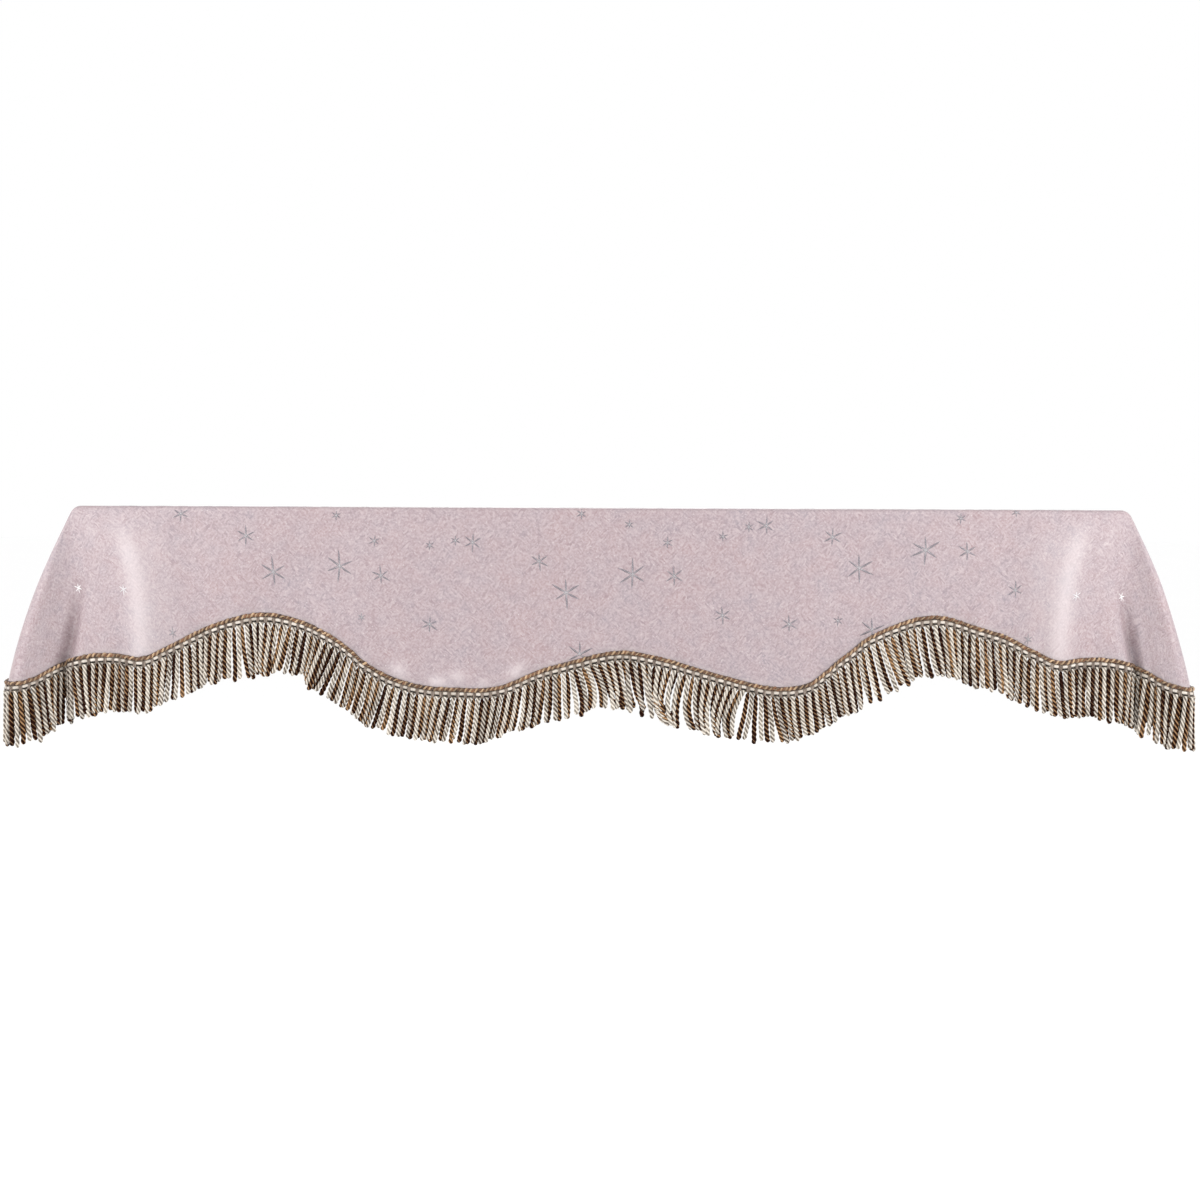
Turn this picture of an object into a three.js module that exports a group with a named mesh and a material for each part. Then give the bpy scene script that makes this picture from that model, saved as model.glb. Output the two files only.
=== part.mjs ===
import * as THREE from 'three';

// A fringed cloth cover in the shape in which it drapes over a long flat top.
// Millimetres, +Z up, the front faces -Y. The origin is the middle of the underside of the cloth's flat top.

// Sizes of the cloth
const TOP_LENGTH = 1520; // flat top, along X
const TOP_DEPTH = 380; // flat top, along Y
const CLOTH_THICK = 2;
const EDGE_ROLL = 8; // the cloth starts to roll this far before the top's edge
const CORNER_ROUND = 14; // radius of the top's corners, seen from above
const STAND_OFF = 0.85; // below 1 the stiff cloth stands off from the edge early
const FRINGED_COLUMN = 24; // hem between two columns of points, where the fringe hangs
const PLAIN_COLUMN = 70; // the same on the plain back
const WALL_STEPS = [0, 0.12, 0.28, 0.46, 0.65, 0.83, 1]; // rows of points, from the roll to the heading

// Sizes of the trim: a woven heading with twisted ropes, where one lock is a cream rope and a brown one
const HEADING_TALL = 17;
const HEADING_THICK = 3;
const HEADING_LAP = 12; // the cloth reaches this far down behind the heading
const TRIM_GAP = 0.5; // between the heading and the cloth
const LOCK_PITCH = 12;
const LOCK_LENGTH = 71;
const LOCK_SHARE = 0.66; // width of a lock's root, as a share of the pitch
const LOCK_LEAN = 0.6; // 0 hangs straight down, 1 stands square to the hem
const LOCK_SWAY = 0.07; // largest uneven lean along the hem
const SWAY_TURNS = [2.4, 0.7]; // two angles that step from section to section and make the lean uneven
// Cross sections below a lock's root, with columns: share of the length, width, thickness
const LOCK_SECTIONS = [
  [0.55, 8.4, 4.6],
  [1, 6.2, 3.4],
];

// Hem of the front, a row for each turn of its scallops from left to right.
// Columns: across from the middle, forward of the top's edge, drop to the heading's upper edge
const FRONT_HEM = [
  [-555, 4, 167],
  [-490, 3, 152],
  [-430, 4, 164],
  [-381, 6, 189],
  [-323, 9, 233],
  [-265, 11, 254],
  [-207, 12, 259],
  [-149, 11, 257],
  [-91, 8, 234],
  [-33, 6, 217],
  [28, 5, 205],
  [83, 6, 213],
  [140, 8, 229],
  [198, 11, 245],
  [256, 12, 256],
  [302, 10, 249],
  [349, 7, 213],
  [401, 5, 176],
  [480, 3, 152],
  [552, 4, 170],
];

// Hem of the plain back, with the same columns, seen from behind from left to right
const BACK_HEM = [
  [430, 7, 99],
  [170, 3, 97],
  [-130, 8, 100],
  [-400, 4, 98],
];

// Folds of a front corner, from the front panel round to the side panel, a row for each ridge, slope or
// valley. Columns: where it leaves the top's edge (from the corner along the front, minus along the side),
// the hem's place inward of the corner and forward of it, its drop, and its sweep (1 spreads evenly on the
// way down, more spreads early)
const FRONT_CORNER = [
  [140, 174, 4, 182, 1],
  [92, 136, 11, 201, 1.8],
  [45, 103, 15, 215, 1.95],
  [4, 70, 18, 211, 2.2],
  [0, 28, 19, 212, 1.6],
  [-2, -12, 23, 223, 1.2],
  [-4, -48, 37, 243, 1.05],
  [-6, -72, 46, 250, 1.12],
  [-9, -86, 30, 250, 1.16],
  [-13, -44, -34, 228, 1.2],
  [-48, -50, -104, 200, 2],
  [-130, -7, -170, 190, 1],
];

// Folds of a back corner, from the side panel round to the back panel, with the same columns.
// Here forward is away from the middle too, and the fringe ends on the row FRINGE_END
const BACK_CORNER = [
  [-120, -8, -122, 192, 1],
  [-34, -16, -62, 190, 1.5],
  [-9, -46, -8, 180, 1.1],
  [-4, -42, 30, 160, 1.05],
  [4, 6, 16, 128, 1.3],
  [34, 92, 26, 106, 2],
  [140, 152, 3, 99, 1],
];
const FRINGE_END = 3;

const HALF_LENGTH = TOP_LENGTH / 2 + CLOTH_THICK;
const HALF_DEPTH = TOP_DEPTH / 2 + CLOTH_THICK;
const DOWN = new THREE.Vector3(0, 0, -1);

// A guide is one line of the drape from the top's edge (root, with the way out of the edge) to the hem
function edgeGuide([across, forward, drop], endY) {
  return {
    root: new THREE.Vector2(across, endY * HALF_DEPTH),
    out: new THREE.Vector2(0, endY),
    hem: new THREE.Vector2(across, endY * (HALF_DEPTH + forward)),
    fall: drop + HEADING_LAP,
    sweep: 1,
  };
}

// endX and endY are -1 or 1 and say which corner of the top the fold hangs from
function cornerGuide([edge, inward, forward, drop, sweep], endX, endY) {
  const halfArc = (CORNER_ROUND * Math.PI) / 4;
  const turn = THREE.MathUtils.clamp(Math.PI / 4 + edge / CORNER_ROUND, 0, Math.PI / 2);
  const pastArc = Math.max(0, Math.abs(edge) - halfArc);
  const rootInward = CORNER_ROUND * (1 - Math.cos(turn)) + (edge > 0 ? pastArc : 0);
  const rootBehind = CORNER_ROUND * (1 - Math.sin(turn)) + (edge < 0 ? pastArc : 0);
  return {
    root: new THREE.Vector2(endX * (HALF_LENGTH - rootInward), endY * (HALF_DEPTH - rootBehind)),
    out: new THREE.Vector2(endX * Math.cos(turn), endY * Math.sin(turn)),
    hem: new THREE.Vector2(endX * (HALF_LENGTH - inward), endY * (HALF_DEPTH + forward)),
    fall: drop + HEADING_LAP,
    sweep,
  };
}

// All guides in one loop, counter-clockwise from above, from the left end of the fringe
const leftBack = BACK_CORNER.map((row) => cornerGuide(row, -1, 1)).reverse();
const leftFront = FRONT_CORNER.map((row) => cornerGuide(row, -1, -1)).reverse();
const rightFront = FRONT_CORNER.map((row) => cornerGuide(row, 1, -1));
const rightBack = BACK_CORNER.map((row) => cornerGuide(row, 1, 1));
const backRowsBeforeFringe = BACK_CORNER.length - 1 - FRINGE_END;
const guides = [
  ...leftBack.slice(backRowsBeforeFringe),
  ...leftFront,
  ...FRONT_HEM.map((row) => edgeGuide(row, -1)),
  ...rightFront,
  ...rightBack,
  ...BACK_HEM.map((row) => edgeGuide(row, 1)),
  ...leftBack.slice(0, backRowsBeforeFringe),
];
const lastFringed = guides.indexOf(rightBack[FRINGE_END]);

// Point of a hanging guide, with t from 0 at the top's edge to 1 at the cloth's lower edge
function hangingPoint({ root, hem, fall, sweep }, t) {
  const spread = 1 - (1 - t ** STAND_OFF) ** sweep;
  const plan = root.clone().lerp(hem, spread);
  return new THREE.Vector3(plan.x, plan.y, CLOTH_THICK - fall * t);
}

// Points of one guide, from the flat top over the rolled edge and down to the hem
function guidePoints(guide) {
  const rollEnd = EDGE_ROLL / guide.fall;
  const headingTop = 1 - HEADING_LAP / guide.fall;
  const edge = hangingPoint(guide, 0);
  const flat = new THREE.Vector3(-guide.out.x, -guide.out.y, 0).multiplyScalar(EDGE_ROLL).add(edge);
  const roll = new THREE.QuadraticBezierCurve3(flat, edge, hangingPoint(guide, rollEnd));
  return [
    flat,
    roll.getPoint(0.5),
    ...WALL_STEPS.map((step) => hangingPoint(guide, THREE.MathUtils.lerp(rollEnd, headingTop, step))),
    hangingPoint(guide, 1),
  ];
}

// Columns of points between the guides, as places on a loop that runs from 0 to 1
function columnPlaces(hemLoop) {
  const places = [];
  let lastFringedColumn = 0;
  hemLoop.forEach((point, i) => {
    const next = hemLoop[(i + 1) % hemLoop.length];
    const width = i < lastFringed ? FRINGED_COLUMN : PLAIN_COLUMN;
    const count = Math.max(2, Math.round(point.distanceTo(next) / width));
    if (i === lastFringed) lastFringedColumn = places.length;
    for (let k = 0; k < count; k += 1) places.push((i + k / count) / hemLoop.length);
  });
  return { places, lastFringedColumn };
}

// The outside of the cloth as rows of points, with the way out of the cloth at each one
const guideLines = guides.map(guidePoints);
const hemRow = guideLines[0].length - 1;
const { places, lastFringedColumn } = columnPlaces(guideLines.map((line) => line[hemRow]));
const outside = guideLines[0].map((_, row) => {
  const loop = guideLines.map((line) => line[row]);
  const curve = new THREE.CatmullRomCurve3(loop, true, 'centripetal');
  return places.map((place) => curve.getPoint(place));
});
const wayOut = outside.map((points, row) => points.map((_, column) => {
  if (row === 0) return new THREE.Vector3(0, 0, 1);
  const last = points.length - 1;
  const next = points[column === last ? 0 : column + 1];
  const along = next.clone().sub(points[column === 0 ? last : column - 1]);
  const below = outside[Math.min(row + 1, hemRow)][column].clone().sub(outside[row - 1][column]);
  return below.cross(along).normalize();
}));

// A closed body that grows by four-cornered faces, each given counter-clockwise from outside
function makeBody() {
  const positions = [];
  const triangles = [];
  return {
    point: (p) => positions.push(p.x, p.y, p.z) / 3 - 1,
    triangle: (a, b, c) => triangles.push(a, b, c),
    quad: (a, b, c, d) => triangles.push(a, b, c, a, c, d),
    geometry: () => {
      const geometry = new THREE.BufferGeometry();
      geometry.setAttribute('position', new THREE.Float32BufferAttribute(positions, 3));
      geometry.setIndex(triangles);
      geometry.computeVertexNormals();
      return geometry;
    },
  };
}

// The cloth: the outside, the inside one thickness behind it, a flat top and the cut edge of the hem
function clothGeometry() {
  const body = makeBody();
  const outer = outside.map((points) => points.map(body.point));
  const inner = outside.map((points, row) => points.map((point, column) => {
    const inset = wayOut[row][column].clone().multiplyScalar(-CLOTH_THICK);
    return body.point(inset.add(point));
  }));
  const topMiddle = body.point(new THREE.Vector3(0, 0, CLOTH_THICK));
  const undersideMiddle = body.point(new THREE.Vector3(0, 0, 0));
  places.forEach((_, a) => {
    const b = (a + 1) % places.length;
    body.triangle(topMiddle, outer[0][a], outer[0][b]);
    body.triangle(undersideMiddle, inner[0][b], inner[0][a]);
    for (let row = 0; row < hemRow; row += 1) {
      body.quad(outer[row][a], outer[row + 1][a], outer[row + 1][b], outer[row][b]);
      body.quad(inner[row][a], inner[row][b], inner[row + 1][b], inner[row + 1][a]);
    }
    body.quad(outer[hemRow][a], inner[hemRow][a], inner[hemRow][b], outer[hemRow][b]);
  });
  return body.geometry();
}

// Section of the heading at one column: its upper and lower edge, each on the inside and on the outside
function headingSection(column) {
  const upper = outside[hemRow - 1][column];
  const lower = outside[hemRow][column];
  const below = lower.clone().sub(upper).setLength(HEADING_TALL - HEADING_LAP).add(lower);
  const upperOut = wayOut[hemRow - 1][column];
  const lowerOut = wayOut[hemRow][column];
  const outer = TRIM_GAP + HEADING_THICK;
  return {
    upperIn: upper.clone().addScaledVector(upperOut, TRIM_GAP),
    upperOut: upper.clone().addScaledVector(upperOut, outer),
    lowerOut: below.clone().addScaledVector(lowerOut, outer),
    lowerIn: below.clone().addScaledVector(lowerOut, TRIM_GAP),
  };
}

function sectionBetween(a, b, share) {
  const between = Object.keys(a).map((key) => [key, a[key].clone().lerp(b[key], share)]);
  return Object.fromEntries(between);
}

// Sections along the whole heading. A lock hangs between a section that starts one and the next section
function headingSections() {
  const sections = [];
  for (let column = 0; column < lastFringedColumn; column += 1) {
    const from = headingSection(column);
    const to = headingSection(column + 1);
    const locks = Math.max(1, Math.round(from.lowerOut.distanceTo(to.lowerOut) / LOCK_PITCH));
    sections.push({ ...from, startsLock: false });
    for (let k = 0; k < locks; k += 1) {
      const middle = (k + 0.5) / locks;
      const half = LOCK_SHARE / 2 / locks;
      sections.push({ ...sectionBetween(from, to, middle - half), startsLock: true });
      sections.push({ ...sectionBetween(from, to, middle + half), startsLock: false });
    }
  }
  sections.push({ ...headingSection(lastFringedColumn), startsLock: false });
  return sections;
}

// Corner points of a lock below its root, level by level, in the order of the root's corners
function lockLevels(a, b, number) {
  const root = a.lowerOut.clone().add(b.lowerIn).divideScalar(2);
  const hemLine = b.lowerOut.clone().sub(a.lowerOut).normalize();
  const along = hemLine.clone().setZ(0).normalize();
  const out = new THREE.Vector3().crossVectors(DOWN, along);
  const face = a.lowerOut.clone().sub(a.lowerIn).normalize();
  const squareToHem = new THREE.Vector3().crossVectors(hemLine, face);
  const [quick, slow] = SWAY_TURNS;
  const sway = LOCK_SWAY * Math.sin(number * quick) * Math.cos(number * slow);
  const hang = DOWN.clone().lerp(squareToHem, LOCK_LEAN).addScaledVector(along, sway).normalize();
  return LOCK_SECTIONS.map(([share, width, thick]) => {
    const middle = root.clone().addScaledVector(hang, LOCK_LENGTH * share);
    const corners = [[-1, 1], [1, 1], [1, -1], [-1, -1]];
    return corners.map(([sideways, outward]) => middle.clone()
      .addScaledVector(along, (sideways * width) / 2)
      .addScaledVector(out, (outward * thick) / 2));
  });
}

function trimGeometry() {
  const body = makeBody();
  const sections = headingSections();
  const rings = sections.map((section) => ({
    upperIn: body.point(section.upperIn),
    upperOut: body.point(section.upperOut),
    lowerOut: body.point(section.lowerOut),
    lowerIn: body.point(section.lowerIn),
  }));
  rings.slice(0, -1).forEach((a, i) => {
    const b = rings[i + 1];
    body.quad(a.upperOut, a.lowerOut, b.lowerOut, b.upperOut);
    body.quad(a.upperIn, b.upperIn, b.lowerIn, a.lowerIn);
    body.quad(a.upperIn, a.upperOut, b.upperOut, b.upperIn);
    if (!sections[i].startsLock) {
      body.quad(a.lowerOut, a.lowerIn, b.lowerIn, b.lowerOut);
      return;
    }
    let above = [a.lowerOut, b.lowerOut, b.lowerIn, a.lowerIn];
    lockLevels(sections[i], sections[i + 1], i).forEach((points) => {
      const level = points.map(body.point);
      level.forEach((corner, k) => {
        const next = (k + 1) % level.length;
        body.quad(above[k], corner, level[next], above[next]);
      });
      above = level;
    });
    const [frontLeft, frontRight, backRight, backLeft] = above;
    body.quad(frontLeft, backLeft, backRight, frontRight);
  });
  const start = rings[0];
  const end = rings[rings.length - 1];
  body.quad(start.upperOut, start.upperIn, start.lowerIn, start.lowerOut);
  body.quad(end.upperIn, end.upperOut, end.lowerOut, end.lowerIn);
  return body.geometry();
}

const clothMaterial = new THREE.MeshStandardMaterial({ color: '#ccb9bc', roughness: 0.6, metalness: 0 });
const trimMaterial = new THREE.MeshStandardMaterial({ color: '#a98f76', roughness: 0.7, metalness: 0 });

const cloth = new THREE.Mesh(clothGeometry(), clothMaterial);
cloth.name = 'cover_cloth';
const trim = new THREE.Mesh(trimGeometry(), trimMaterial);
trim.name = 'fringe_trim';

const cover = new THREE.Group();
cover.add(cloth, trim);

export default cover;
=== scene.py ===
import math
import random

import bpy
import numpy as np
from mathutils import Matrix, Vector
from mathutils.bvhtree import BVHTree
from mathutils.geometry import barycentric_transform


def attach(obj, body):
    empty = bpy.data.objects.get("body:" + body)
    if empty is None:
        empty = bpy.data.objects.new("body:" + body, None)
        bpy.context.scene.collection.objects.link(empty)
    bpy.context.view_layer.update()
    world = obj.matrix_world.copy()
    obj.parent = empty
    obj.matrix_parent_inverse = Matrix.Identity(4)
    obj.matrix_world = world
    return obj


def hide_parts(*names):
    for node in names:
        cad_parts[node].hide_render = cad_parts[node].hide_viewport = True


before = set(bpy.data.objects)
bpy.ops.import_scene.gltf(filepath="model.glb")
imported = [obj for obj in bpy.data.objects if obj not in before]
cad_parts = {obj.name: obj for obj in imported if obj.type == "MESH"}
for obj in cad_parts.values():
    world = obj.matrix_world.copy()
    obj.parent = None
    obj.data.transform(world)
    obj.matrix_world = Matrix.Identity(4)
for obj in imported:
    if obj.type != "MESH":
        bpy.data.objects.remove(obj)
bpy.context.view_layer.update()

# A fringed jacquard cover in the shape in which it drapes over a long flat top. The front faces -Y.
# Sizes are in millimetres, and make_piece turns them into metres.
MM = 0.001

# Sizes of the cloth, the same as those of its solid
TOP_LENGTH = 1520
TOP_DEPTH = 380
CLOTH_THICK = 2
EDGE_ROLL = 8  # the cloth starts to roll this far before the top's edge
CORNER_ROUND = 14  # radius of the top's corners, seen from above
STAND_OFF = 0.85  # below 1 the stiff cloth stands off from the edge early
HALF_LENGTH = TOP_LENGTH / 2 + CLOTH_THICK
HALF_DEPTH = TOP_DEPTH / 2 + CLOTH_THICK

# How finely the cloth is drawn
COLUMN_WIDTH = 7  # hem between two columns of points
CORNER_COLUMN_WIDTH = 4  # the same at the front corners, where the creases are narrow
LEAST_COLUMNS = 4  # between two guides
TOP_INSETS = (150, 90, 45, 15)  # rings of points on the flat top, from the edge inward
ROLL_ROWS = 6
WALL_ROWS = 46
LAP_ROWS = 3

# Sizes of the trim
HEADING_TALL = 17
HEADING_LAP = 12  # the cloth reaches this far down behind the heading
ROPE_PITCH = 5.9  # cream and brown ropes take turns
ROPE_LENGTH = 72

# Hem of the front, a row for each turn of its scallops from left to right.
# Columns: across from the middle, forward of the top's edge, drop to the heading's upper edge
FRONT_HEM = [
    (-555, 4, 167),
    (-490, 3, 152),
    (-430, 4, 164),
    (-381, 6, 189),
    (-323, 9, 233),
    (-265, 11, 254),
    (-207, 12, 259),
    (-149, 11, 257),
    (-91, 8, 234),
    (-33, 6, 217),
    (28, 5, 205),
    (83, 6, 213),
    (140, 8, 229),
    (198, 11, 245),
    (256, 12, 256),
    (302, 10, 249),
    (349, 7, 213),
    (401, 5, 176),
    (480, 3, 152),
    (552, 4, 170),
]

# Hem of the plain back, with the same columns, seen from behind from left to right
BACK_HEM = [
    (430, 7, 99),
    (170, 3, 97),
    (-130, 8, 100),
    (-400, 4, 98),
]

# Folds of a front corner, from the front panel round to the side panel, a row for each ridge, slope or
# valley. Columns: where it leaves the top's edge (from the corner along the front, minus along the side),
# the hem's place inward of the corner and forward of it, its drop, and its sweep (1 spreads evenly on the
# way down, more spreads early)
FRONT_CORNER = [
    (140, 174, 4, 182, 1),
    (92, 136, 11, 201, 1.8),
    (45, 103, 15, 215, 1.95),
    (4, 70, 18, 211, 2.2),
    (0, 28, 19, 212, 1.6),
    (-2, -12, 23, 223, 1.2),
    (-4, -48, 37, 243, 1.05),
    (-6, -72, 46, 250, 1.12),
    (-9, -86, 30, 250, 1.16),
    (-13, -44, -34, 228, 1.2),
    (-48, -50, -104, 200, 2),
    (-130, -7, -170, 190, 1),
]

# Folds of a back corner, from the side panel round to the back panel, with the same columns.
# Here forward is away from the middle too, and the fringe ends on the row FRINGE_END
BACK_CORNER = [
    (-120, -8, -122, 192, 1),
    (-34, -16, -62, 190, 1.5),
    (-9, -46, -8, 180, 1.1),
    (-4, -42, 30, 160, 1.05),
    (4, 6, 16, 128, 1.3),
    (34, 92, 26, 106, 2),
    (140, 152, 3, 99, 1),
]
FRINGE_END = 3

# Creases of each front corner that are finer than its folds. Columns: the row of FRONT_CORNER that it
# follows, its shift along the hem at the top and at the bottom, its height (minus is a trough), its width,
# and the shares of the drop between which it grows
CORNER_CREASES = [
    (2, 0, 0, 9, 24, 0.0, 0.8),
    (5, 18, 4, -18, 8, 0.46, 0.86),
    (5, 4, -6, -9, 26, 0.0, 0.5),
    (7, 0, 0, 2, 14, 0.1, 0.4),
    (10, 0, 0, 3, 26, 0.2, 0.5),
]

# Bands of painted highlight along the folds of each front corner, where a fold catches light; a minus
# strength takes painted highlight away. Columns as for the creases, with the strength in place of the
# height
HIGHLIGHT_BANDS = [
    (1, 0, 0, 0.3, 24, 0.0, 0.2),
    (2, 3, 0, 1.15, 16, 0.0, 0.25),
    (3, -7, -7, 0.3, 9, 0.0, 0.1),
    (3, -7, -7, -0.3, 9, 0.15, 0.35),
    (8, 0, 0, 0.7, 6, 0.05, 0.3),
]
BUMP_HIGHLIGHT = 0.4  # painted highlight on a bump of the hem for each millimetre of its height
# the most painted highlight that a point can have
MOST_HIGHLIGHT = 1.4

# Slow waves of the hanging cloth and small puckers where the heading is sewn on.
# Columns: wavelength along the hem, height
PANEL_WAVES = [(173, 0.9), (291, 1.4)]
WAVE_LAG = 1.7  # radians between the starts of two waves
WAVE_LEAN = 2.0  # radians by which a wave moves along the hem on its way down
WAVE_GROWTH = (0.05, 0.6)  # shares of the drop between which the waves grow
HEM_PUCKERS = [(27, 0.5), (41, 0.9), (73, 1.5)]
PUCKER_LAG = 2.3
PUCKER_REACH = 24  # puckers fade over this distance above the heading

# Bumps where the left trough of the hem is pulled in. Columns: across from the middle, above the heading,
# height, width
HEM_BUMPS = [
    (-292, 12, 3.0, 11),
    (-236, 4, 3.5, 12),
    (-206, 16, 3.0, 10),
    (-168, 5, 2.0, 9),
    (-122, 12, 3.0, 11),
]

# One repeat of the woven stars. Columns: across and up in the flat cloth, and the length of a ray
STAR_REPEAT = [
    (0, 0, 19.5),
    (96, 27, 19.5),
    (156, 25, 12.5),
    (-39, 45, 12.5),
    (146, 73, 7.5),
    (226, 82, 7),
    (263, 96, 7.5),
    (288, 98, 12),
    (226, -32, 11.5),
    (20, -89, 18),
    (22, 114, 7.5),
    (91, 99, 6.5),
]
REPEAT_WIDTH = 423
REPEAT_HEIGHT = 292
REPEAT_STEP = 37  # every second repeat lies this much higher
REPEAT_ORIGIN = (-50, -HALF_DEPTH - 121)
PULLED_REPEAT = -1  # the cloth is pulled askew here, left of the middle
PULLED_SLOPE = -0.188
PULLED_DROP = 9
FRONT_REPEAT = (-540, 620)  # between its corners, the front has the repeat from here to here

# Stars of the front that are outside the repeat. Columns: across from the middle, drop, the length of a
# ray, and how much painted highlight the film has there
STRAY_STARS = [
    (-755, 117, 6.5, 1.0),
    (-685, 118, 7, 0.6),
    (-617, 181, 8, 0.1),
    (-606, 9, 11, 0),
    (-345, 157, 6, 0.1),
    (272, 164, 11.5, 0),
    (343, 159, 7, 0),
    (617, 185, 8, 0.1),
    (683, 121, 7, 0.6),
    (752, 123, 6.5, 1.0),
]

# A star's ray, a row for each section from the star's middle to the tip. The film dips under the ground
# threads at the middle, so a star is paler there.
# Columns: share of the ray's length, share of its greatest half width, how pale the film looks
RAY_SECTIONS = [
    (0.0, 0.5, 0.28),
    (0.12, 0.75, 0.18),
    (0.4, 1.0, 0.0),
    (0.75, 0.75, 0.0),
    (1.0, 0.2, 0.1),
]

# Outline of the heading tape across its length, a row for each corner.
# Columns: down from the heading's upper edge, out from the cloth, tone
TAPE_OUTLINE = [
    (1.5, 0.5, 0),
    (0.9, 1.2, 0),
    (1.6, 1.9, 0),
    (6.8, 2.1, 0),
    (7.4, 2.1, 0.7),
    (14.4, 2.1, 0.7),
    (15.8, 1.8, 0.3),
    (16.2, 1.2, 0.1),
    (15.6, 0.5, 0),
]

# The bullion ropes: each has three plies that are twisted round each other
PLIES = 3
POINTS_IN_PLY = 5
PLY_TURN = 21.5  # a ply goes once round the rope in this length
GROOVE_DEPTH = 0.34  # share of the rope's radius
ROPE_SECTIONS = 35
TIP_LENGTH = 4
TIP_SECTIONS = (0.5, 0.2, 0.05, 0)  # shares of the tip that are left at its sections
ROOT_DOWN = HEADING_TALL - 2.5
CREAM_ROOT_OUT = 2.6
BROWN_ROOT_OUT = 1.2

# How the ropes hang along the front. Columns: across from the middle, degrees from straight down at the
# root and at the tip (plus is to the right), share of their usual length
ROPE_LEANS = [
    (-853, 0, 0, 1.07),
    (-781, 7, 11, 1.07),
    (-723, 0, 0, 1.06),
    (-680, -3, -5, 0.94),
    (-629, -2, -4, 0.95),
    (-578, -2, -2, 1.0),
    (-513, 2, 2, 1.08),
    (-477, -5, -7, 1.1),
    (-448, -10, -14, 0.98),
    (-427, -13, -19, 0.88),
    (-390, -19, -29, 1.0),
    (-333, -15, -23, 0.94),
    (-289, -10, -14, 0.94),
    (-137, -8, -12, 0.95),
    (-92, -6, -14, 0.96),
    (-70, 0, -6, 0.95),
    (-52, 8, -4, 0.94),
    (-38, 16, -10, 0.94),
    (-14, 22, -16, 0.94),
    (-4, 22, 4, 0.94),
    (16, 14, 18, 1.0),
    (62, 10, 22, 1.1),
    (72, -2, 30, 1.18),
    (84, -12, 36, 1.22),
    (96, -20, 38, 1.24),
    (112, -18, 32, 1.2),
    (134, -8, 18, 1.12),
    (150, -14, 20, 1.14),
    (172, -18, 16, 1.12),
    (180, -24, 22, 1.1),
    (206, -24, 20, 1.08),
    (216, -4, -3, 1.0),
    (246, 7, 9, 0.93),
    (268, 7, 9, 0.9),
    (300, 8, 11, 0.84),
    (335, 9, 13, 0.93),
    (376, 10, 16, 1.08),
    (412, 16, 24, 1.06),
    (440, 13, 19, 0.98),
    (463, 11, 17, 1.03),
    (506, 5, 7, 1.09),
    (578, 2, 2, 1.04),
    (629, 2, 4, 0.99),
    (680, 3, 5, 0.94),
    (723, 0, 0, 1.1),
    (781, -7, -11, 1.1),
    (853, 0, 0, 1.07),
]
TANGLE_MIDDLE = 70  # the ropes are tangled here, across from the middle
TANGLE_REACH = 130

# Camera, in front of the cover at the height of its top
IMAGE_SIDE = 1200  # pixels
FOCAL_PIXELS = 1575
HORIZON_ABOVE_MIDDLE = 92  # pixels
SENSOR_WIDTH = 36
CAMERA_PLACE = (-1, -2467, 2)
CAMERA_ROLL = 0.26  # degrees

# Stage
FLOOR_DROP = 1180  # the floor is this far below the cover's top
FLOOR_RADII = (600, 1500, 5000, 20000, 60000)
FLOOR_SIDES = 64
LIGHT_TARGET = (0, -150, -130)

# Large soft lights. Columns: name, place, side of the square, power in watts
SOFT_LIGHTS = [
    ("left_key_light", (-1250, -1000, 500), 1600, 16),
    ("right_key_light", (1250, -1000, 500), 1600, 17),
    ("left_side_light", (-3000, -3900, 2100), 1600, 15),
    ("right_side_light", (3000, -3900, 2100), 1600, 15),
    ("back_light", (0, 4200, 2400), 2000, 70),
]


def place_camera():
    data = bpy.data.cameras.new("camera")
    data.sensor_width = SENSOR_WIDTH
    data.lens = SENSOR_WIDTH * FOCAL_PIXELS / IMAGE_SIDE
    camera = bpy.data.objects.new("camera", data)
    bpy.context.scene.collection.objects.link(camera)
    pitch = math.atan(HORIZON_ABOVE_MIDDLE / FOCAL_PIXELS)
    tilt = Matrix.Rotation(math.pi / 2 - pitch, 4, "X")
    roll = Matrix.Rotation(math.radians(CAMERA_ROLL), 4, "Z")
    camera.matrix_world = Matrix.Translation(Vector(CAMERA_PLACE) * MM) @ tilt @ roll
    bpy.context.scene.camera = camera


place_camera()

# Tools for materials and meshes


def linear(colour):
    """Turns an sRGB hex colour into linear red, green, blue and alpha."""
    channels = [int(colour[i:i + 2], 16) / 255 for i in (1, 3, 5)]
    return [c / 12.92 if c <= 0.04045 else ((c + 0.055) / 1.055) ** 2.4 for c in channels] + [1.0]


def set_inputs(tree, node, inputs):
    """Sets a node's inputs. Each is a value or the socket that is linked to it."""
    for name, value in inputs.items():
        if isinstance(value, bpy.types.NodeSocket):
            tree.links.new(value, node.inputs[name])
        else:
            node.inputs[name].default_value = value


def add_node(tree, kind, inputs, **settings):
    """Adds a shader node with its inputs and settings, and returns its outputs."""
    node = tree.nodes.new(f"ShaderNode{kind}")
    for name, value in settings.items():
        setattr(node, name, value)
    set_inputs(tree, node, inputs)
    return node.outputs


def new_material(name, values):
    """A material with a principled shader, whose plain values are set on its own sockets."""
    material = bpy.data.materials.new(name)
    material.use_nodes = True
    shader = material.node_tree.nodes["Principled BSDF"]
    set_inputs(material.node_tree, shader, values)
    return material, material.node_tree, shader


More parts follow.
